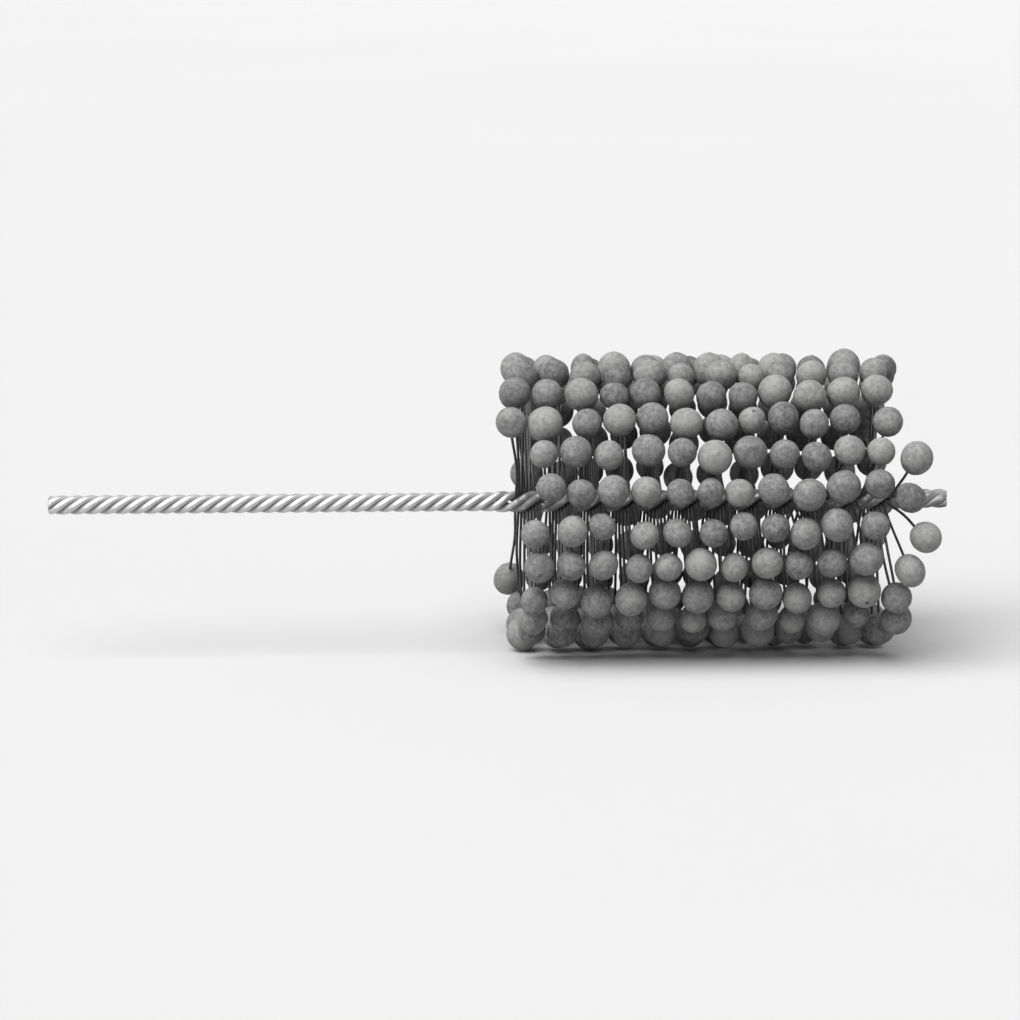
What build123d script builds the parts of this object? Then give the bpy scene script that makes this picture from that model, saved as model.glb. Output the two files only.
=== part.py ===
from build123d import *
import math
import os
import random
from dataclasses import dataclass
from itertools import combinations, pairwise

# Flexible ball hone, in millimetres. Four steel wires are twisted left-handed into a stem. In the brush
# they part into two pairs, and nylon filaments, laid side by side, are gripped in the slot between the
# pairs. Each filament carries an abrasive globule on both ends.
# The origin is the centre of the stem's driven end, +X runs along the stem to its tip, and +Z is up.

# Stem
overall_length = 343.0
wire_diameter = 2.8
wire_clearance = 0.04
bare_lead = 22.3
bare_half_angle = 45.0
pair_half_angle = 38.0
parting_length = 8.0
slot_run_in = 2.0
end_rounding = 1.5

# Brush: rows of globules run along the stem, and a filament's two ends lie in opposite rows
row_count = 22
filaments_per_row_pair = 12
first_row_angle = 134.3
filament_diameter = 1.06
filament_pinch = 0.04
filament_pitch = 1.1
filament_bend_radius = 2.0
filament_rise = 0.6
tip_length = 20.5

# Globules
globule_diameter = 12.0
globule_diameter_spread = 1.3
globule_reach = 50.4
reach_spread = 0.9
nib_length = 1.0
nib_diameter = 3.0
socket_depth = 2.2
socket_clearance = 0.03

# How the globules crowd: each is thrown off its place, then neighbours push each other clear
scatter_along = 4.4
scatter_around = 2.4
gap_in_row = 0.2
gap_between_rows = 1.4
crowding_rounds = 60
seed = 3

# One globule near the tip stands off from the rest on a leaning filament
stray_globule = 258
stray_lean = 8.4
stray_swing = 3.6

# Steps in the search for a wire's offset
nearness_steps = 200
offset_steps = 40


def clear_offset(turned, lead, needed):
    """The offset from the axis at which a twisted wire passes a radius of the stem at the needed distance.

    turned is the angle from the radius to the wire, in the plane across the stem that holds the radius.
    """
    low, high = 0.0, lead / 2
    for _ in range(offset_steps):
        offset = (low + high) / 2
        along = [lead / 4 * step / nearness_steps for step in range(nearness_steps)]
        nearest = min(math.hypot(x, offset * math.sin(math.radians(turned - 360 * x / lead))) for x in along)
        if nearest < needed:
            low = offset
        else:
            high = offset
    return high


# Sizes worked out from these
wire_radius = wire_diameter / 2
beside_wire = wire_radius + wire_clearance / 2
beside_filament = wire_radius + filament_diameter / 2 - filament_pinch
brush_lead = row_count * filament_pitch
bare_offset = clear_offset(bare_half_angle, bare_lead, beside_wire)
brush_offset = max(
    clear_offset(pair_half_angle, brush_lead, beside_wire),
    clear_offset(90 - pair_half_angle, brush_lead, beside_filament),
)
bare_radius = bare_offset + wire_radius
brush_stem_radius = brush_offset + wire_radius
filament_groups = row_count // 2
filament_count = filament_groups * filaments_per_row_pair
brush_length = filament_count * filament_pitch
brush_end = overall_length - tip_length
brush_start = brush_end - brush_length
first_filament = brush_start + filament_pitch / 2
slot_start = brush_start - slot_run_in
slot_end = brush_end + slot_run_in


def slot_angle(x):
    """The slot's angle at x. The twist is left-handed, and slacker in the brush than on the bare stem."""
    in_slot = min(max(x, slot_start), slot_end)
    return first_row_angle - 360 * ((in_slot - first_filament) / brush_lead + (x - in_slot) / bare_lead)


# A helix along +X starts straight above its axis
helix_start_angle = 90


def around(x, reach, angle):
    """The point at x along the stem, at a reach from its axis, at an angle in degrees from +Y towards +Z."""
    return Vector(x, reach * math.cos(math.radians(angle)), reach * math.sin(math.radians(angle)))


@dataclass
class Globule:
    """One abrasive globule, with the place where its filament leaves the stem."""

    row: int
    group: int
    root_x: float
    root_angle: float
    x: float
    angle: float
    reach: float
    diameter: float

    @property
    def centre(self):
        return around(self.x, self.reach, self.angle)

    @property
    def bend(self):
        """Where the filament leaves the wires and turns towards the globule."""
        return around(self.root_x, brush_stem_radius + filament_rise, self.root_angle)

    @property
    def outward(self):
        return (self.centre - self.bend).normalized()

    @property
    def sideways(self):
        return self.outward.cross(Vector(1, 0, 0))

    @property
    def nib_height(self):
        """From the globule's centre to the flat end of its nib."""
        return self.diameter / 2 + nib_length


def scattered_globules():
    """Both globules of every filament, thrown off their places by a seeded draw."""
    chance = random.Random(seed)
    scattered = []
    for number in range(filament_count):
        root_x = first_filament + number * filament_pitch
        for side in range(2):
            root_angle = slot_angle(root_x) + 180 * side
            lean = scatter_along * chance.uniform(-1, 1)
            swing = math.degrees(scatter_around / globule_reach) * chance.uniform(-1, 1)
            if len(scattered) == stray_globule:
                lean, swing = stray_lean, stray_swing
            scattered.append(
                Globule(
                    row=(number + side * filament_groups) % row_count,
                    group=number % filament_groups,
                    root_x=root_x,
                    root_angle=root_angle,
                    x=root_x + lean,
                    angle=root_angle + swing,
                    reach=globule_reach + reach_spread * chance.uniform(-1, 1),
                    diameter=globule_diameter + globule_diameter_spread * chance.uniform(-1, 1),
                )
            )
    return scattered


def crowd(globules):
    """Neighbours closer than their gap push each other apart along the stem and around it."""
    for _ in range(crowding_rounds):
        for one, other in combinations(globules, 2):
            along = other.x - one.x
            gap = gap_in_row if one.row == other.row else gap_between_rows
            near = (one.diameter + other.diameter) / 2 + gap
            if abs(along) > near:
                continue
            apart = (other.centre - one.centre).length
            if apart < near:
                swing = (other.angle - one.angle + 180) % 360 - 180
                push = (near - apart) / apart / 2
                one.x -= along * push
                other.x += along * push
                one.angle -= swing * push
                other.angle += swing * push


def wire_solid(side):
    """A wire on one side of its pair. The wires part, then close up in pairs with the filaments between."""
    overrun = 2 * wire_diameter
    stations = [
        (-overrun, bare_offset, bare_half_angle),
        (slot_start - parting_length, bare_offset, bare_half_angle),
        (slot_start - parting_length / 2, brush_offset, bare_half_angle),
        (slot_start, brush_offset, pair_half_angle),
        (slot_end, brush_offset, pair_half_angle),
        (slot_end + parting_length / 2, brush_offset, bare_half_angle),
        (slot_end + parting_length, bare_offset, bare_half_angle),
        (overall_length + overrun, bare_offset, bare_half_angle),
    ]
    places = [(x, offset, slot_angle(x) + 90 + side * half_angle) for x, offset, half_angle in stations]
    with BuildPart() as wire:
        with BuildLine() as route:
            for (x, offset, angle), (next_x, next_offset, next_angle) in pairwise(places):
                cone = math.atan2(next_offset - offset, next_x - x)
                leg = Helix(
                    pitch=360 * (next_x - x) / (angle - next_angle) / math.cos(cone),
                    height=next_x - x,
                    radius=offset,
                    direction=(1, 0, 0),
                    cone_angle=math.degrees(cone),
                    lefthand=True,
                    mode=Mode.PRIVATE,
                )
                add(leg.rotate(Axis.X, angle - helix_start_angle).moved(Location((x, 0, 0))))
        with BuildSketch(Plane(route.wire() @ 0, z_dir=route.wire() % 0)):
            Circle(wire_radius)
        sweep(is_frenet=True)
        split(bisect_by=Plane.YZ, keep=Keep.TOP)
        split(bisect_by=Plane.YZ.offset(overall_length), keep=Keep.BOTTOM)
        add(end_dressing.part, mode=Mode.SUBTRACT)
    return wire.part


def globule_solid(globule):
    """A drop-shaped globule, drawn down to a nib that has a socket for the filament's end."""
    radius, height = globule.diameter / 2, globule.nib_height
    nib_radius, socket_radius = nib_diameter / 2, filament_diameter / 2 + socket_clearance
    to_nib = math.atan2(nib_radius, -height)
    meets_ball = to_nib - math.acos(radius / math.hypot(height, nib_radius))
    shoulder = (radius * math.cos(meets_ball), radius * math.sin(meets_ball))
    flank = (radius * math.cos(meets_ball / 2), radius * math.sin(meets_ball / 2))
    with BuildPart() as ball:
        with BuildSketch(Plane(globule.centre, x_dir=globule.outward, z_dir=globule.sideways)):
            with BuildLine():
                Polyline(
                    (radius, 0),
                    (socket_depth - height, 0),
                    (socket_depth - height, socket_radius),
                    (-height, socket_radius),
                    (-height, nib_radius),
                    shoulder,
                )
                ThreePointArc(shoulder, flank, (radius, 0))
            make_face()
        revolve(axis=Axis(globule.centre, globule.outward))
    return ball.part


def filament_solid(first, second):
    """A filament that runs from one globule's socket straight through the stem to the other's."""
    ends = [
        globule.centre - globule.outward * (globule.nib_height - socket_depth + socket_clearance)
        for globule in (first, second)
    ]
    with BuildPart() as filament:
        with BuildLine() as route:
            FilletPolyline(ends[0], first.bend, second.bend, ends[1], radius=filament_bend_radius)
        with BuildSketch(Plane(ends[0], z_dir=route.wire() % 0)):
            Circle(filament_diameter / 2)
        sweep()
    return filament.part


globules = scattered_globules()
crowd(globules)
os.makedirs("parts", exist_ok=True)

# The stem: two pairs of wires, rounded together at the driven end and cut square at the tip
with BuildPart() as end_dressing:
    with BuildSketch(Plane.XY):
        with BuildLine():
            Polyline(
                (end_rounding, bare_radius),
                (end_rounding, 2 * bare_radius),
                (-end_rounding, 2 * bare_radius),
                (-end_rounding, bare_radius - end_rounding),
                (0, bare_radius - end_rounding),
            )
            RadiusArc((0, bare_radius - end_rounding), (end_rounding, bare_radius), end_rounding)
        make_face()
    revolve(axis=Axis.X)

for number, (side, turn) in enumerate([(-1, 0), (1, 0), (-1, 180), (1, 180)], start=1):
    with BuildPart() as wire:
        add(wire_solid(side).rotate(Axis.X, turn))
    wire.part.label = f"stem_wire_{number}"
    export_step(wire.part, f"parts/{wire.part.label}.step")

# The filaments of two opposite rows, lying side by side through the stem
for group in range(filament_groups):
    pairs = zip(globules[::2], globules[1::2])
    solids = [filament_solid(first, second) for first, second in pairs if first.group == group]
    with BuildPart() as filaments:
        add(solids)
    filaments.part.label = f"filaments_{group + 1:02d}"
    export_step(filaments.part, f"parts/{filaments.part.label}.step")

# The globules of each row
for row in range(row_count):
    solids = [globule_solid(globule) for globule in globules if globule.row == row]
    with BuildPart() as globule_row:
        add(solids)
    globule_row.part.label = f"globules_row_{row + 1:02d}"
    export_step(globule_row.part, f"parts/{globule_row.part.label}.step")
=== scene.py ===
"""Finishes, surfaces and studio for a flexible ball hone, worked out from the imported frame.

The stem's four wires stay as the frame gives them and get a galvanised finish. The globules and the
filaments are modelled anew, row by row, where the frame's plain solids stand. All lengths are in metres.
"""

import logging
import math
from dataclasses import dataclass, field
from enum import Enum

import bpy
import numpy as np
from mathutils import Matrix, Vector

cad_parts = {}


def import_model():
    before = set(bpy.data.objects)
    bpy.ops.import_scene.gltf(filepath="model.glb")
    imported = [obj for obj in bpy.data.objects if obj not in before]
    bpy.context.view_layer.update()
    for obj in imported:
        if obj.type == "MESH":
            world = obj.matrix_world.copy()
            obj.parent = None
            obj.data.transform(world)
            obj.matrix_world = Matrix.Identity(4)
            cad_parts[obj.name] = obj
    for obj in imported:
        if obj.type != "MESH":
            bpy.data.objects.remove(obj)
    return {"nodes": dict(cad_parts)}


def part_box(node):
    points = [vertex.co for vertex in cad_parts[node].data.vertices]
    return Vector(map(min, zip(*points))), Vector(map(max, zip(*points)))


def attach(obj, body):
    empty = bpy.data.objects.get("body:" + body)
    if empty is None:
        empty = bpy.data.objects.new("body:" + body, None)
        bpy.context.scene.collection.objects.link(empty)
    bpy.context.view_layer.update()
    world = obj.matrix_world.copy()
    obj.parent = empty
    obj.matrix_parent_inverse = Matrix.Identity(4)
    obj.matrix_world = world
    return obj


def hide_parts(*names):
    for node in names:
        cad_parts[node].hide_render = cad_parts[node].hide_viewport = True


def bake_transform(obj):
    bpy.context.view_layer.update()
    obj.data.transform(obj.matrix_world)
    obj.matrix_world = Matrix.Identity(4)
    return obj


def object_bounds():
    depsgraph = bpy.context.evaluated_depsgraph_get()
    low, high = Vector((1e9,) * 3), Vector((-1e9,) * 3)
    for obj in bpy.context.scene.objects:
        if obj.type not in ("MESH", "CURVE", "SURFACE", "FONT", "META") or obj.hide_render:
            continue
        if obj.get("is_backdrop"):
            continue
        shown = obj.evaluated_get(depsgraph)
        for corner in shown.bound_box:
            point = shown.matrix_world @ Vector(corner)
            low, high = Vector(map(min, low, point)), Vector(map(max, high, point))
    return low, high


Colour = tuple[float, float, float]
Span = tuple[float, float]
Faces = list[list[int]]

WIRE_COUNT = 4

# The colour sockets of a Mix node, which shares their names with its other kinds
MIX_SHARE, MIX_FIRST, MIX_SECOND, MIX_RESULT = 0, 6, 7, 2

# The double points of a frame node are joined on a grid with this many steps to the metre
GRID_STEPS = 1e7

# A point that is farther out than this many radii of its globule is on the nib
NIB_FROM = 1.02

log = logging.getLogger("ball_hone")


class Slot(Enum):
    """The record's material slots for the pieces that are modelled anew."""

    NYLON = "nylon"
    ABRASIVE = "abrasive"


class Cell(Enum):
    """What a texture of packed cells gives: each cell's depth, or a random value of its own."""

    DEPTH = "Distance"
    SHADE = "Color"


class Graph:
    """The node graph of one material, built around its principled shader."""

    def __init__(self, name: str) -> None:
        """Start an empty material.

        Args:
            name: the material's name.
        """
        self.material = bpy.data.materials.new(name)
        self.material.use_nodes = True
        self.nodes = self.material.node_tree.nodes
        self.links = self.material.node_tree.links
        self.nodes.clear()
        self.shader = self.nodes.new("ShaderNodeBsdfPrincipled")
        output = self.nodes.new("ShaderNodeOutputMaterial")
        self.links.new(self.shader.outputs["BSDF"], output.inputs["Surface"])
        self.place = self.node("ShaderNodeTexCoord").outputs["Object"]

    def feed(self, node: bpy.types.Node, socket: str | int, value: object) -> None:
        """Set a node's input, or link it where the value is another node's output.

        Args:
            node: the node.
            socket: the input's name or number.
            value: a plain value or an output socket.
        """
        if isinstance(value, bpy.types.NodeSocket):
            self.links.new(value, node.inputs[socket])
        else:
            node.inputs[socket].default_value = value

    def node(
        self, kind: str, inputs: dict[str | int, object] | None = None, **settings: object
    ) -> bpy.types.Node:
        """Add a node.

        Args:
            kind: the node's type.
            inputs: what goes into its sockets, by name or number.
            settings: its own properties.

        Returns:
            The node.
        """
        node = self.nodes.new(kind)
        for key, value in settings.items():
            setattr(node, key, value)
        for socket, value in (inputs or {}).items():
            self.feed(node, socket, value)
        return node

    def surface(self, socket: str, value: object) -> None:
        """Set or link one of the shader's own inputs."""
        self.feed(self.shader, socket, value)

    def noise(self, place: object, size: float, detail: float = 2.0) -> bpy.types.NodeSocket:
        """Cloudy noise from 0 to 1, with features of a given size.

        Args:
            place: the coordinates that it reads.
            size: the features' size in the coordinates' units.
            detail: how many finer octaves it has.

        Returns:
            The noise's value.
        """
        inputs = {"Vector": place, "Scale": 1 / size, "Detail": detail}
        return self.node("ShaderNodeTexNoise", inputs).outputs["Fac"]

    def cells(self, place: object, size: float, output: Cell) -> bpy.types.NodeSocket:
        """Packed cells of a given size.

        Args:
            place: the coordinates that it reads.
            size: the cells' size in the coordinates' units.
            output: what is wanted of the cells.

        Returns:
            The chosen output.
        """
        inputs = {"Vector": place, "Scale": 1 / size}
        return self.node("ShaderNodeTexVoronoi", inputs).outputs[output.value]

    def maths(self, operation: str, *values: object) -> bpy.types.NodeSocket:
        """One step of arithmetic.

        Args:
            operation: the operation's name.
            values: its operands.

        Returns:
            The result.
        """
        return self.node("ShaderNodeMath", dict(enumerate(values)), operation=operation).outputs[0]

    def fade(self, value: object, start: float, end: float) -> bpy.types.NodeSocket:
        """Rise smoothly from 0 to 1 as a value goes from start to end, which may be the lower of the two.

        Args:
            value: the value.
            start: where the result is 0.
            end: where the result is 1.

        Returns:
            The result.
        """
        rising = start < end
        inputs = {
            "Value": value,
            "From Min": start if rising else end,
            "From Max": end if rising else start,
            "To Min": 0.0 if rising else 1.0,
            "To Max": 1.0 if rising else 0.0,
        }
        return self.node("ShaderNodeMapRange", inputs, interpolation_type="SMOOTHSTEP").outputs["Result"]

    def ramp(self, value: object, span: Span, first: Colour, last: Colour) -> bpy.types.NodeSocket:
        """Go from one colour to another as a value crosses a span.

        Args:
            value: a value from 0 to 1.
            span: where the first colour ends and where the last one starts.
            first: the colour below the span.
            last: the colour above it.

        Returns:
            The colour.
        """
        node = self.node("ShaderNodeValToRGB", {"Fac": value})
        for element, position, colour in zip(node.color_ramp.elements, span, (first, last)):
            element.position = position
            element.color = (*colour, 1.0)
        return node.outputs["Color"]

    def blend(self, share: object, first: object, second: object) -> bpy.types.NodeSocket:
        """Mix two colours.

        Args:
            share: the second colour's share.
            first: a colour or a colour socket.
            second: a colour or a colour socket.

        Returns:
            The mixed colour.
        """
        node = self.node("ShaderNodeMix", data_type="RGBA")
        self.feed(node, MIX_SHARE, share)
        for socket, colour in ((MIX_FIRST, first), (MIX_SECOND, second)):
            self.feed(node, socket, (*colour, 1.0) if isinstance(colour, tuple) else colour)
        return node.outputs[MIX_RESULT]

    def bump(self, height: object, depth: float, strength: float) -> None:
        """Give the shader a relief.

        Args:
            height: the relief's height from 0 to 1.
            depth: its full depth in metres.
            strength: how much of it shows.
        """
        inputs = {"Height": height, "Distance": depth, "Strength": strength}
        self.surface("Normal", self.node("ShaderNodeBump", inputs).outputs["Normal"])


@dataclass(frozen=True)
class GritFinish:
    """Silicon carbide grit bonded in resin: matt grey, with grains, pores painted dark as their shade, and a
    filament's end on some.
    """

    resin: Colour = (0.053, 0.053, 0.054)
    grit: Colour = (0.196, 0.196, 0.193)
    crystal: Colour = (0.28, 0.28, 0.28)
    # The painted shade inside the pores
    pore: Colour = (0.03, 0.03, 0.03)
    grain_size: float = 0.0003
    clump_size: float = 0.0017
    cloud_size: float = 0.005
    pore_size: float = 0.0012
    tip_radius: float = 0.00055
    shade_share: float = 0.34
    cloud_share: float = 0.4
    clump_share: float = 0.24
    grain_share: float = 0.22
    tone_span: Span = (0.28, 0.8)
    clump_span: Span = (0.3, 0.7)
    crystal_span: Span = (0.88, 0.98)
    crystal_share: float = 0.5
    pore_span: Span = (0.26, 0.18)
    roughness: float = 0.72
    clump_roughness: float = 0.18
    crystal_gloss: float = 0.4
    grain_height: float = -0.5
    pore_height: float = -0.8
    tip_height: float = -0.8
    relief: float = 0.0002
    relief_strength: float = 0.75
    specular: float = 0.35

    def material(self) -> bpy.types.Material:
        """Build the material.

        The tone is a weighted sum of a random shade for each globule, clouds, clumps and grains. Every grain
        has its own random value, and the brightest ones are glossy crystals. The filament's end shows as a
        spot of resin around the globule's pole.

        Returns:
            The material.
        """
        graph = Graph("bonded_grit")
        place = graph.place
        shade = graph.node("ShaderNodeAttribute", attribute_name="shade").outputs["Fac"]
        pole = graph.node("ShaderNodeAttribute", attribute_name="pole").outputs["Vector"]
        clouds = graph.noise(place, self.cloud_size)
        clumps = graph.noise(place, self.clump_size, detail=4.0)
        grain_shade = graph.cells(place, self.grain_size, Cell.SHADE)
        grain_depth = graph.cells(place, self.grain_size, Cell.DEPTH)
        tone = graph.maths("MULTIPLY", shade, self.shade_share)
        tone = graph.maths("MULTIPLY_ADD", clouds, self.cloud_share, tone)
        tone = graph.maths("MULTIPLY_ADD", graph.fade(clumps, *self.clump_span), self.clump_share, tone)
        tone = graph.maths("MULTIPLY_ADD", grain_shade, self.grain_share, tone)
        colour = graph.ramp(tone, self.tone_span, self.resin, self.grit)

        sparkle = graph.fade(grain_shade, *self.crystal_span)
        colour = graph.blend(graph.maths("MULTIPLY", sparkle, self.crystal_share), colour, self.crystal)
        # Painted shade: the pores are painted near black, as the shade inside them, and sunk by the bump
        pores = graph.fade(graph.noise(place, self.pore_size, detail=1.0), *self.pore_span)
        colour = graph.blend(pores, colour, self.pore)
        from_pole = graph.node("ShaderNodeVectorMath", {0: place, 1: pole}, operation="DISTANCE")
        uneven = graph.maths("MULTIPLY_ADD", clumps, -self.tip_radius, from_pole.outputs["Value"])
        tip = graph.fade(uneven, self.tip_radius, self.tip_radius / 2)
        graph.surface("Base Color", graph.blend(tip, colour, self.resin))

        rough = graph.maths("MULTIPLY_ADD", clumps, self.clump_roughness, self.roughness)
        graph.surface("Roughness", graph.maths("MULTIPLY_ADD", sparkle, -self.crystal_gloss, rough))
        height = graph.maths("MULTIPLY_ADD", grain_depth, self.grain_height, clumps)
        height = graph.maths("MULTIPLY_ADD", pores, self.pore_height, height)
        height = graph.maths("MULTIPLY_ADD", tip, self.tip_height, height)
        graph.bump(height, self.relief, self.relief_strength)
        graph.surface("Specular IOR Level", self.specular)
        return graph.material


@dataclass(frozen=True)
class NylonFinish:
    """Drawn black nylon: smooth and satin, faintly mottled, with grit dust near the globule."""

    core: Colour = (0.009, 0.009, 0.01)
    bloom: Colour = (0.036, 0.036, 0.036)
    dust: Colour = (0.065, 0.065, 0.065)
    mottle_size: float = 0.003
    speckle_size: float = 0.00025
    speckle_share: float = 0.35
    tone_span: Span = (0.45, 1.0)
    dust_span: Span = (0.82, 1.0)
    roughness: float = 0.24
    mottle_roughness: float = 0.3
    relief: float = 0.00002
    relief_strength: float = 0.4
    ior: float = 1.53

    def material(self) -> bpy.types.Material:
        """Build the material.

        It reads how far out along the filament a point lies, from 0 at the stem to 1 at the globule.

        Returns:
            The material.
        """
        graph = Graph("drawn_nylon")
        along = graph.node("ShaderNodeAttribute", attribute_name="along").outputs["Fac"]
        mottle = graph.noise(graph.place, self.mottle_size, detail=3.0)
        speckle = graph.noise(graph.place, self.speckle_size)
        tone = graph.maths("MULTIPLY_ADD", speckle, self.speckle_share, mottle)
        colour = graph.ramp(tone, self.tone_span, self.core, self.bloom)
        dusty = graph.maths("MULTIPLY", graph.fade(along, *self.dust_span), mottle)
        graph.surface("Base Color", graph.blend(dusty, colour, self.dust))
        rough = graph.maths("MULTIPLY_ADD", mottle, self.mottle_roughness, self.roughness)
        graph.surface("Roughness", rough)
        graph.bump(speckle, self.relief, self.relief_strength)
        graph.surface("IOR", self.ior)
        return graph.material


@dataclass(frozen=True)
class GalvanisedFinish:
    """Galvanised steel wire: bright crowns, drawn streaks, painted shade in grooves and, with dust, in the
    brush.
    """

    crown: Colour = (0.56, 0.56, 0.565)
    dull: Colour = (0.48, 0.48, 0.485)
    # The grooves' painted shade
    groove: Colour = (0.33, 0.33, 0.33)
    # Painted shade from the filaments, with resin dust, on the wires in the brush
    brush_shade_and_dust: Colour = (0.16, 0.16, 0.16)
    cut: Colour = (0.16, 0.16, 0.16)
    lead: float = 0.0223
    streak_width: float = 0.00022
    streak_stretch: float = 0.045
    streak_share: float = 0.6
    spangle_size: float = 0.0028
    spangle_share: float = 0.5
    tone_span: Span = (0.35, 0.7)
    groove_floor: float = 0.0034
    groove_lip: float = 0.0038
    groove_wander: float = 0.0006
    brush_shade_and_dust_run: float = 0.006
    brush_shade_and_dust_span: Span = (0.2, 0.55)
    cut_depth: float = 0.00008
    roughness: float = 0.25
    streak_roughness: float = 0.2
    spangle_roughness: float = 0.3
    shade_and_dust_roughness: float = 0.75
    metal: float = 0.95
    shade_and_dust_metal_loss: float = 0.75
    relief: float = 0.00003
    relief_strength: float = 0.5

    def material(self, length: float, brush_start: float) -> bpy.types.Material:
        """Build the material.

        The pattern is unwound first: a point at x is turned back about the stem by a full turn for each lead,
        which makes the wires straight, and then shrunk along x, so that the noise draws out into streaks.

        Args:
            length: the stem's length, where its square cut lies.
            brush_start: where the brush starts, from which on the wires darken with resin dust and painted
                shade.

        Returns:
            The material.
        """
        graph = Graph("galvanised_wire")
        apart = graph.node("ShaderNodeSeparateXYZ", {0: graph.place})
        x, y, z = (apart.outputs[index] for index in range(3))
        turn = graph.maths("MULTIPLY", x, math.tau / self.lead)
        unwound = graph.node(
            "ShaderNodeVectorRotate", {"Vector": graph.place, "Angle": turn}, rotation_type="X_AXIS"
        ).outputs["Vector"]
        shrunk = graph.node("ShaderNodeMapping", {"Vector": unwound, "Scale": (self.streak_stretch, 1, 1)})
        streaks = graph.noise(shrunk.outputs["Vector"], self.streak_width, detail=3.0)
        spangle = graph.noise(graph.place, self.spangle_size, detail=3.0)
        tone = graph.maths("MULTIPLY", spangle, self.spangle_share)
        tone = graph.maths("MULTIPLY_ADD", streaks, self.streak_share, tone)
        colour = graph.ramp(tone, self.tone_span, self.dull, self.crown)

        # Partly real resin dust, partly painted shade from the filaments: the wires darken in patches from
        # where the brush starts
        in_brush = graph.fade(x, brush_start - self.brush_shade_and_dust_run, brush_start + self.brush_shade_and_dust_run)
        brush_shade_and_dust_mask = graph.maths("MULTIPLY", in_brush, graph.fade(spangle, *self.brush_shade_and_dust_span))
        colour = graph.blend(brush_shade_and_dust_mask, colour, self.brush_shade_and_dust)
        # Painted shade: the wires darken towards the grooves, as their distance from the stem's axis falls
        # below the crowns
        reach = graph.maths("SQRT", graph.maths("MULTIPLY_ADD", y, y, graph.maths("MULTIPLY", z, z)))
        uneven = graph.maths("MULTIPLY_ADD", spangle, self.groove_wander, reach)
        groove_shade_mask = graph.fade(uneven, self.groove_lip, self.groove_floor)
        colour = graph.blend(groove_shade_mask, colour, self.groove)
        sawn = graph.maths("GREATER_THAN", x, length - self.cut_depth)
        graph.surface("Base Color", graph.blend(sawn, colour, self.cut))

        # Where the painted groove shade and the brush's painted shade and dust lie, the wire is also rougher
        # and less metallic
        shade_and_dust_mask = graph.maths("MAXIMUM", groove_shade_mask, brush_shade_and_dust_mask)
        rough = graph.maths("MULTIPLY_ADD", streaks, self.streak_roughness, self.roughness)
        rough = graph.maths("MULTIPLY_ADD", spangle, self.spangle_roughness, rough)
        rough = graph.maths("MAXIMUM", rough, graph.maths("MULTIPLY", shade_and_dust_mask, self.shade_and_dust_roughness))
        graph.surface("Roughness", rough)
        graph.surface("Metallic", graph.maths("MULTIPLY_ADD", shade_and_dust_mask, -self.shade_and_dust_metal_loss, self.metal))
        graph.bump(streaks, self.relief, self.relief_strength)
        return graph.material


@dataclass(frozen=True)
class PaperFinish:
    """The studio's seamless white paper."""

    white: Colour = (0.396, 0.396, 0.396)
    shade: Colour = (0.39, 0.39, 0.39)
    mottle_size: float = 0.4
    tone_span: Span = (0.3, 0.7)
    roughness: float = 0.9
    specular: float = 0.1

    def material(self) -> bpy.types.Material:
        """Build the material, a white that wanders very slightly.

        Returns:
            The material.
        """
        graph = Graph("seamless_paper")
        tone = graph.noise(graph.place, self.mottle_size)
        graph.surface("Base Color", graph.ramp(tone, self.tone_span, self.shade, self.white))
        graph.surface("Roughness", self.roughness)
        graph.surface("Specular IOR Level", self.specular)
        return graph.material


def loose_parts(points: np.ndarray, triangles: np.ndarray) -> np.ndarray:
    """Number the separate bodies of a mesh.

    Every point starts with its own number, and each pass hands the least number of a triangle to its corners
    and then replaces each number by that number's own, until nothing changes.

    Args:
        points: the points, one row each.
        triangles: the corners of each triangle.

    Returns:
        The number of each point's body.
    """
    labels = np.arange(len(points))
    while True:
        lowest = labels[triangles].min(axis=1)
        spread = labels.copy()
        for corner in range(3):
            np.minimum.at(spread, triangles[:, corner], lowest)
        spread = spread[spread]
        if np.array_equal(spread, labels):
            return labels
        labels = spread


def node_mesh(node: bpy.types.Object) -> tuple[np.ndarray, np.ndarray]:
    """Read a frame node's mesh with its double points joined.

    Args:
        node: the node.

    Returns:
        The points, and the corners of each triangle.
    """
    mesh = node.data
    mesh.calc_loop_triangles()
    points = np.empty(len(mesh.vertices) * 3)
    corners = np.empty(len(mesh.loop_triangles) * 3, dtype=int)
    mesh.vertices.foreach_get("co", points)
    mesh.loop_triangles.foreach_get("vertices", corners)
    whole = np.round(points.reshape(-1, 3) * GRID_STEPS).astype(np.int64)
    joined, place = np.unique(whole, axis=0, return_inverse=True)
    return joined / GRID_STEPS, place.ravel()[corners].reshape(-1, 3)


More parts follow.
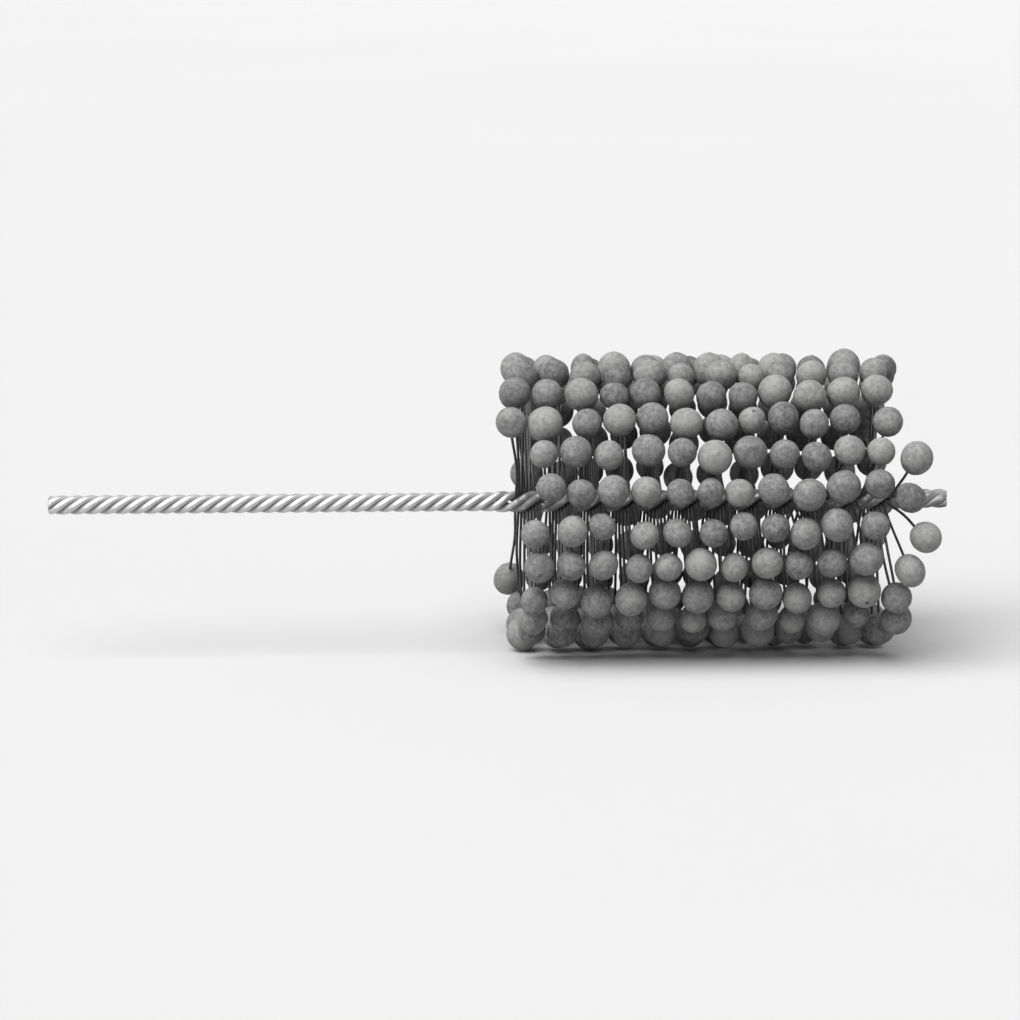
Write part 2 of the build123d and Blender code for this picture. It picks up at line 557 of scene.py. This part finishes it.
@dataclass
class GlobuleRow:
    """The globules of one row, read from its node. Each array has one entry for each globule."""

    number: int
    centres: np.ndarray
    radii: np.ndarray
    outward: np.ndarray

    @classmethod
    def from_node(cls, number: int, node: bpy.types.Object) -> "GlobuleRow":
        """Measure the globules of a row.

        The sphere through the outer half of each solid is a least-squares fit: twice the centre times a
        point, plus a constant, is the point's squared length. What stands out past the sphere is the nib.

        Args:
            number: the row's number.
            node: the row's node.

        Returns:
            The row.
        """
        points, triangles = node_mesh(node)
        labels = loose_parts(points, triangles)
        centres, radii, outward = [], [], []
        for label in np.unique(labels):
            solid = points[labels == label]
            reach = np.hypot(solid[:, 1], solid[:, 2])
            outer = solid[reach > (reach.min() + reach.max()) / 2]
            system = np.column_stack([2 * outer, np.ones(len(outer))])
            *centre, constant = np.linalg.lstsq(system, (outer**2).sum(axis=1), rcond=None)[0]
            radius = math.sqrt(constant + np.dot(centre, centre))
            away = np.linalg.norm(solid - centre, axis=1)
            inward = solid[away > NIB_FROM * radius].mean(axis=0) - centre
            centres.append(centre)
            radii.append(radius)
            outward.append(-inward / np.linalg.norm(inward))
        order = np.argsort(np.array(centres)[:, 0])
        return cls(number, np.array(centres)[order], np.array(radii)[order], np.array(outward)[order])

    @property
    def body(self) -> str:
        """The body that the row's globules ride on."""
        return f"row_{self.number:02d}"

    @property
    def count(self) -> int:
        """How many globules the row has."""
        return len(self.radii)

    @property
    def direction(self) -> np.ndarray:
        """The row's own direction, straight out from the stem."""
        middle = self.centres.mean(axis=0) * (0, 1, 1)
        return middle / np.linalg.norm(middle)

    def roots(self, reach: float) -> np.ndarray:
        """Where each filament turns off from the stem.

        A globule's axis meets a cylinder about the stem where the squared distance from the stem's axis, a
        quadratic in the length back along the globule's axis, equals the squared reach.

        Args:
            reach: the cylinder's radius.

        Returns:
            One point for each globule.
        """
        across, axis = self.centres[:, 1:], self.outward[:, 1:]
        a = (axis**2).sum(axis=1)
        b = (across * axis).sum(axis=1)
        c = (across**2).sum(axis=1) - reach**2
        back = (b - np.sqrt(np.maximum(b**2 - a * c, 0))) / a
        return self.centres - self.outward * back[:, None]


def side_vectors(axes: np.ndarray) -> tuple[np.ndarray, np.ndarray]:
    """Two unit vectors square to each axis and to each other. The axes stand nearly across the stem.

    Args:
        axes: unit vectors along the last dimension.

    Returns:
        The vectors, shaped as the axes.
    """
    first = np.cross(axes, (1.0, 0.0, 0.0))
    first /= np.linalg.norm(first, axis=-1, keepdims=True)
    return first, np.cross(axes, first)


def capped_tubes(rings: np.ndarray, starts: np.ndarray, ends: np.ndarray) -> tuple[np.ndarray, Faces]:
    """Close rings of points into tubes whose two ends are fans around a pole.

    Args:
        rings: points shaped copies, stations, around, xyz, counterclockwise seen from the tube's end.
        starts: each copy's pole at its first ring.
        ends: each copy's pole at its last ring.

    Returns:
        The points, and the faces as lists of point numbers.
    """
    copies, stations, around, _ = rings.shape
    ring_points = stations * around
    per_copy = ring_points + 2
    points = np.concatenate([rings.reshape(copies, -1, 3), starts[:, None], ends[:, None]], axis=1)
    station, turn = np.meshgrid(np.arange(stations - 1), np.arange(around), indexing="ij")
    following = (turn + 1) % around
    here = station * around
    there = here + around
    quads = np.stack([here + turn, here + following, there + following, there + turn], axis=-1)
    step = np.arange(around)
    after = (step + 1) % around
    last = ring_points - around
    first_fan = np.stack([np.full(around, ring_points), after, step], axis=-1)
    last_fan = np.stack([np.full(around, ring_points + 1), last + step, last + after], axis=-1)
    offsets = np.arange(copies)[:, None, None] * per_copy
    faces = (quads.reshape(-1, 4) + offsets).reshape(-1, 4).tolist()
    for fan in (first_fan, last_fan):
        faces += (fan + offsets).reshape(-1, 3).tolist()
    return points.reshape(-1, 3), faces


def new_piece(
    name: str, points: np.ndarray, faces: Faces, material: bpy.types.Material
) -> bpy.types.Object:
    """Make a smooth-shaded object at the origin.

    Args:
        name: the piece's name.
        points: its points in the frame's own place.
        faces: its faces as lists of point numbers.
        material: its material.

    Returns:
        The object.
    """
    mesh = bpy.data.meshes.new(name)
    mesh.from_pydata(points, [], faces)
    mesh.materials.append(material)
    mesh.polygons.foreach_set("use_smooth", np.ones(len(mesh.polygons), dtype=bool))
    mesh.update()
    piece = bpy.data.objects.new(name, mesh)
    bpy.context.scene.collection.objects.link(piece)
    return piece


def point_attribute(piece: bpy.types.Object, name: str, values: np.ndarray) -> None:
    """Store a number or a vector on each point of a piece.

    Args:
        piece: the piece.
        name: the attribute's name.
        values: one number, or one vector, for each point.
    """
    vectors = values.ndim == 2
    attribute = piece.data.attributes.new(name, "FLOAT_VECTOR" if vectors else "FLOAT", "POINT")
    attribute.data.foreach_set("vector" if vectors else "value", values.astype(np.float32).ravel())


@dataclass
class GlobuleShaper:
    """Abrasive globules: drops drawn down to a neck, each dented in its own way and rough all over."""

    finish: GritFinish = field(default_factory=GritFinish)
    around: int = 8
    polar_angles: tuple[float, ...] = (7.0, 26.0, 48.0, 70.0, 92.0, 114.0, 134.0)
    neck_drop: float = 0.00035
    neck_radius: float = 0.0012
    nib_drop: float = 0.001
    nib_radius: float = 0.00068
    swell: float = 0.00026
    dents: int = 7
    dent_depth: Span = (0.00002, 0.00066)
    dent_width: Span = (0.06, 0.5)
    drop: Span = (0.0, 0.24)
    taper: Span = (0.0, 0.24)
    squash: Span = (-0.05, 0.06)
    pit_depth: float = 0.0002
    pitted_share: float = 0.05
    roughness_size: float = 0.0017
    roughness_depth: float = 0.00026
    roughness_detail: int = 3
    levels: int = 2
    seed: int = 5

    def __post_init__(self) -> None:
        """Make what all rows share."""
        self.material = self.finish.material()
        self.chance = np.random.default_rng(self.seed)
        self.texture = bpy.data.textures.new("grit_lumps", "CLOUDS")
        self.texture.noise_scale = self.roughness_size
        self.texture.noise_depth = self.roughness_detail

    def dented(self, row: GlobuleRow, normals: np.ndarray, radii: np.ndarray) -> np.ndarray:
        """Press random dents into spheres.

        A dent lowers a point by its depth times e to the power of minus one less the cosine of the angle
        between the point's normal and the dent's direction, over the dent's width.

        Args:
            row: the globules.
            normals: unit vectors shaped copies, stations, around, xyz.
            radii: how far out the points lie, shaped as the normals without xyz.

        Returns:
            The lowered distances.
        """
        directions = self.chance.normal(size=(row.count, self.dents, 3))
        directions /= np.linalg.norm(directions, axis=-1, keepdims=True)
        depths = self.chance.uniform(*self.dent_depth, size=(row.count, self.dents))
        widths = self.chance.uniform(*self.dent_width, size=(row.count, self.dents))
        cosines = np.einsum("csax,cdx->cdsa", normals, directions)
        pressed = depths[..., None, None] * np.exp((cosines - 1) / widths[..., None, None])
        return radii - pressed.sum(axis=1)

    def shape(self, row: GlobuleRow, pitted: np.ndarray) -> tuple[np.ndarray, Faces]:
        """Work out the cages of a row's globules.

        On the ball a cage point lies out from the centre by the dented radius, at the polar angle from the
        globule's outward axis and an angle around it. The half towards the stem is drawn out by the drop
        times the cosine of the polar angle, and narrowed by the taper times its square. Along the first
        spoke the globule is flatter by the squash. Below the ball two narrower rings make the neck.
        Subdivision draws a cage in, so its sizes are first multiplied by three over the sum of two and the
        cosine of the step, once for the step between the rings and once for the step around them.

        Args:
            row: the globules.
            pitted: for each globule, whether its outer pole is pitted.

        Returns:
            The points and the faces.
        """
        polar = np.radians(self.polar_angles)
        turns = np.arange(self.around) * math.tau / self.around
        starts = self.chance.uniform(0, math.tau, size=row.count)
        angles = turns + starts[:, None]
        first, second = side_vectors(row.outward)
        spokes = np.cos(angles)[..., None] * first[:, None] + np.sin(angles)[..., None] * second[:, None]
        normals = (
            np.cos(polar)[None, :, None, None] * row.outward[:, None, None]
            + np.sin(polar)[None, :, None, None] * spokes[:, None]
        )
        radii = np.broadcast_to((row.radii + self.swell)[:, None, None], normals.shape[:3])
        radii = self.dented(row, normals, radii)
        along_gain = 3 / (2 + math.cos(np.diff(polar).max()))
        around_gain = 3 / (2 + math.cos(math.tau / self.around))
        inner = np.maximum(-np.cos(polar), 0)[None, :, None]
        drop = self.chance.uniform(*self.drop, size=(row.count, 1, 1))
        taper = self.chance.uniform(*self.taper, size=(row.count, 1, 1))
        height = radii * (np.cos(polar)[None, :, None] - drop * inner) * along_gain
        width = radii * np.sin(polar)[None, :, None] * (1 - taper * inner**2) * along_gain * around_gain

        drops = row.radii[:, None] + np.array([self.neck_drop, self.nib_drop])
        neck_radii = np.array([self.neck_radius, self.nib_radius]) * around_gain
        neck_height = np.broadcast_to(-drops[..., None], (*drops.shape, self.around))
        neck_width = np.broadcast_to(neck_radii[None, :, None], neck_height.shape)
        height = np.concatenate([height, neck_height], axis=1)[..., None]
        width = np.concatenate([width, neck_width], axis=1)[..., None]
        squash = self.chance.uniform(*self.squash, size=(row.count, 1, 1, 1))
        flattened = squash * np.cos(turns)[:, None] * spokes[:, None, :1]
        rings = (
            row.centres[:, None, None]
            + height * row.outward[:, None, None]
            + width * (spokes[:, None] - flattened)
        )
        pole_height = row.radii * along_gain - np.where(pitted, self.pit_depth, 0)
        poles = row.centres + row.outward * pole_height[:, None]
        feet = row.centres - row.outward * (row.radii + self.nib_drop)[:, None]
        return capped_tubes(rings[:, :, ::-1], poles, feet)

    def build(self, row: GlobuleRow) -> bpy.types.Object:
        """Make the piece of one row, which replaces its node and rides on its body.

        Args:
            row: the globules.

        Returns:
            The piece.
        """
        pitted = self.chance.random(row.count) < self.pitted_share
        points, faces = self.shape(row, pitted)
        piece = new_piece(f"grit_{row.body}", points, faces, self.material)
        per_globule = len(points) // row.count
        shades = self.chance.random(row.count)
        poles = row.centres + row.outward * row.radii[:, None]
        poles[~pitted] = 0
        point_attribute(piece, "shade", np.repeat(shades, per_globule))
        point_attribute(piece, "pole", np.repeat(poles, per_globule, axis=0))
        rounded = piece.modifiers.new("rounded", "SUBSURF")
        rounded.levels = rounded.render_levels = self.levels
        rough = piece.modifiers.new("rough", "DISPLACE")
        rough.texture = self.texture
        rough.texture_coords = "LOCAL"
        rough.strength = self.roughness_depth
        rough.mid_level = 1.0
        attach(piece, row.body)
        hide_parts(f"globules_{row.body}")
        return piece


@dataclass
class FilamentDrawer:
    """Nylon filaments: from the stem's axis straight out to its surface, then in one bend to the globule."""

    stem_radius: float
    groups: int
    finish: NylonFinish = field(default_factory=NylonFinish)
    radius: float = 0.00053
    rise: float = 0.0006
    seat: float = 0.0012
    around: int = 8
    stem_stations: int = 2
    free_stations: int = 9
    bow: float = 0.0009
    stiff_until: float = 0.0045
    leaning_from: float = 0.018
    seed: int = 8

    def __post_init__(self) -> None:
        """Make what all rows share."""
        self.material = self.finish.material()
        self.chance = np.random.default_rng(self.seed)

    def paths(self, row: GlobuleRow) -> tuple[np.ndarray, np.ndarray]:
        """Work out each filament's line.

        Inside the stem it is straight. Outside it is a cubic Hermite curve, which leaves along the stem's
        radius and arrives along the globule's axis, bowed sideways by a half sine, squared, of random height.

        Args:
            row: the globules.

        Returns:
            The points and their share of the way out, shaped copies, stations and, for the points, xyz.
        """
        roots = row.roots(self.stem_radius + self.rise)
        ends = row.centres - row.outward * (row.radii - self.seat)[:, None]
        axes = roots * (1, 0, 0)
        radial = roots - axes
        radial /= np.linalg.norm(radial, axis=1, keepdims=True)
        inner = np.linspace(0, 1, self.stem_stations, endpoint=False)
        straight = axes[:, None] + (roots - axes)[:, None] * inner[None, :, None]

        t = np.linspace(0, 1, self.free_stations)[None, :, None]
        span = np.linalg.norm(ends - roots, axis=1)[:, None, None]
        curved = (
            (2 * t**3 - 3 * t**2 + 1) * roots[:, None]
            + (t**3 - 2 * t**2 + t) * span * radial[:, None]
            + (3 * t**2 - 2 * t**3) * ends[:, None]
            + (t**3 - t**2) * span * row.outward[:, None]
        )
        first, second = side_vectors(row.outward)
        heights = self.chance.uniform(-self.bow, self.bow, size=(2, row.count, 1))
        aside = heights[0] * first + heights[1] * second
        curved = curved + np.sin(math.pi * t) ** 2 * aside[:, None]
        shares = np.concatenate([np.zeros(self.stem_stations), t.ravel()])
        return np.concatenate([straight, curved], axis=1), np.tile(shares, (row.count, 1))

    def build(self, row: GlobuleRow) -> bpy.types.Object:
        """Make the filaments of one row, which bend between the stem and the row.

        A tube's ring is the path's point plus the radius times the cosine and sine of the angle around, along
        two vectors square to the path.

        Args:
            row: the globules.

        Returns:
            The piece.
        """
        path, shares = self.paths(row)
        tangents = np.gradient(path, axis=1)
        tangents /= np.linalg.norm(tangents, axis=-1, keepdims=True)
        first, second = side_vectors(tangents)
        angles = (np.arange(self.around) * math.tau / self.around)[None, None, :, None]
        rings = path[:, :, None] + self.radius * (
            np.cos(angles) * first[:, :, None] + np.sin(angles) * second[:, :, None]
        )
        points, faces = capped_tubes(rings, path[:, 0], path[:, -1])
        piece = new_piece(f"nylon_{row.body}", points, faces, self.material)
        ring_shares = np.repeat(shares, self.around, axis=1)
        ends = np.tile((0.0, 1.0), (row.count, 1))
        point_attribute(piece, "along", np.concatenate([ring_shares, ends], axis=1).ravel())
        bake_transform(piece)
        group = (row.number - 1) % self.groups + 1
        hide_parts(f"filaments_{group:02d}")
        return piece


@dataclass
class Stem:
    """The four twisted wires, which keep the frame's own shape."""

    nodes: dict[str, bpy.types.Object]
    brush_start: float
    finish: GalvanisedFinish = field(default_factory=GalvanisedFinish)

    def dress(self) -> None:
        """Give each wire its finish."""
        length = max(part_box(name)[1].x for name in self.names)
        material = self.finish.material(length, self.brush_start)
        for name in self.names:
            self.nodes[name].material_slots[0].material = material

    @property
    def names(self) -> list[str]:
        """The wires' nodes."""
        return [f"stem_wire_{number}" for number in range(1, WIRE_COUNT + 1)]

    @property
    def brush_radius(self) -> float:
        """The stem's radius in the brush, where the wires part round the filaments."""
        return max(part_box(name)[1].z for name in self.names)


@dataclass
class SoftLight:
    """A light so large and far that it falls evenly everywhere."""

    name: str
    toward: tuple[float, float, float]
    spread: float
    strength: float

    def build(self) -> None:
        """Hang the light, which shines from the direction that it is toward."""
        data = bpy.data.lights.new(self.name, "SUN")
        data.angle = math.radians(self.spread)
        data.energy = self.strength
        light = bpy.data.objects.new(self.name, data)
        light.location = self.toward
        light.rotation_euler = Vector(self.toward).to_track_quat("Z", "Y").to_euler()
        bpy.context.scene.collection.objects.link(light)


@dataclass
class Studio:
    """A white paper dish under soft lights, and the camera at the photograph's angle."""

    floor_height: float
    paper: PaperFinish = field(default_factory=PaperFinish)
    middle_radius: float = 0.02
    dish_radius: float = 5.0
    rise_radius: float = 1.5
    wall_height: float = 0.3
    stations: int = 40
    around: int = 64
    sky: float = 0.42
    azimuth: float = -2.6
    elevation: float = 10.0
    lens: float = 150.0
    sensor: float = 36.0
    view_width: float = 0.3896
    view_depth: float = 50.0
    target: tuple[float, float, float] = (0.1757, 0.0, -0.00325)
    lights: tuple[SoftLight, ...] = (
        SoftLight("key_light", (-0.25, -0.4, 1.0), 60.0, 5.45),
        SoftLight("side_light", (-1.0, -0.6, 0.5), 60.0, 2.5),
    )

    def floor(self) -> None:
        """Make the paper dish, a profile turned about the upright axis.

        The profile runs out flat from a small ring about the middle, then up a quarter circle, and then
        straight up. Its rings run clockwise seen from above, so that the faces point into the dish.
        """
        flat = np.linspace(self.middle_radius, self.dish_radius, self.stations, endpoint=False)
        bend = np.linspace(0, math.pi / 2, self.stations)
        reach = self.dish_radius + self.rise_radius * np.sin(bend)
        reach = np.concatenate([flat, reach, reach[-1:]])
        height = self.rise_radius * (1 - np.cos(bend))
        height = np.concatenate([np.zeros(self.stations), height, height[-1:] + self.wall_height])
        turns = np.arange(self.around) * math.tau / self.around
        rings = np.stack(
            [
                self.target[0] + reach[:, None] * np.cos(turns),
                reach[:, None] * np.sin(turns),
                np.broadcast_to(self.floor_height + height[:, None], (len(reach), self.around)),
            ],
            axis=-1,
        )
        middle = np.array([[self.target[0], 0.0, self.floor_height]])
        points, faces = capped_tubes(rings[None, :, ::-1], middle, middle)
        # The last point and its fan would close the dish
        new_piece("paper_dish", points[:-1], faces[: -self.around], self.paper.material())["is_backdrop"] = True

    def camera(self) -> None:
        """Set up the camera, far enough off that the view has its width at the target."""
        data = bpy.data.cameras.new("camera")
        data.lens = self.lens
        data.sensor_width = self.sensor
        data.sensor_fit = "HORIZONTAL"
        data.clip_end = self.view_depth
        turn, tilt = math.radians(self.azimuth), math.radians(self.elevation)
        toward = Vector((math.sin(turn) * math.cos(tilt), -math.cos(turn) * math.cos(tilt), math.sin(tilt)))
        camera = bpy.data.objects.new("camera", data)
        camera.location = Vector(self.target) + toward * (self.view_width * self.lens / self.sensor)
        camera.rotation_euler = (-toward).to_track_quat("-Z", "Y").to_euler()
        bpy.context.scene.collection.objects.link(camera)
        bpy.context.scene.camera = camera

    def sky_light(self) -> None:
        """Light the world with an even white."""
        world = bpy.data.worlds.new("soft_sky")
        world.use_nodes = True
        background = world.node_tree.nodes["Background"]
        background.inputs["Color"].default_value = (1.0, 1.0, 1.0, 1.0)
        background.inputs["Strength"].default_value = self.sky
        bpy.context.scene.world = world

    def build(self) -> None:
        """Set up the whole studio."""
        self.floor()
        self.camera()
        self.sky_light()
        for light in self.lights:
            light.build()
        bpy.context.scene.view_settings.view_transform = "Standard"


def main() -> None:
    """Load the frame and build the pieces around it."""
    logging.basicConfig(level=logging.INFO, format="%(message)s")
    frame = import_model()
    cad_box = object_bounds()
    nodes = frame["nodes"]
    row_names = sorted(name for name in nodes if name.startswith("globules_row_"))
    groups = sum(name.startswith("filaments_") for name in nodes)

    brush_start = min(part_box(name)[0].x for name in nodes if name.startswith("filaments_"))
    stem = Stem(nodes, brush_start)
    stem.dress()
    log.info("stem: %d wires", len(stem.names))
    shaper = GlobuleShaper()
    drawer = FilamentDrawer(stem.brush_radius, groups)
    for number, name in enumerate(row_names, start=1):
        row = GlobuleRow.from_node(number, nodes[name])
        for piece in (shaper.build(row), drawer.build(row)):
            log.info("%s: %d faces in its cage", piece.name, len(piece.data.polygons))
    studio = Studio(floor_height=cad_box[0].z)
    studio.build()
    log.info("studio: a paper dish and %d lights", len(studio.lights))


if __name__ == "__main__":
    main()
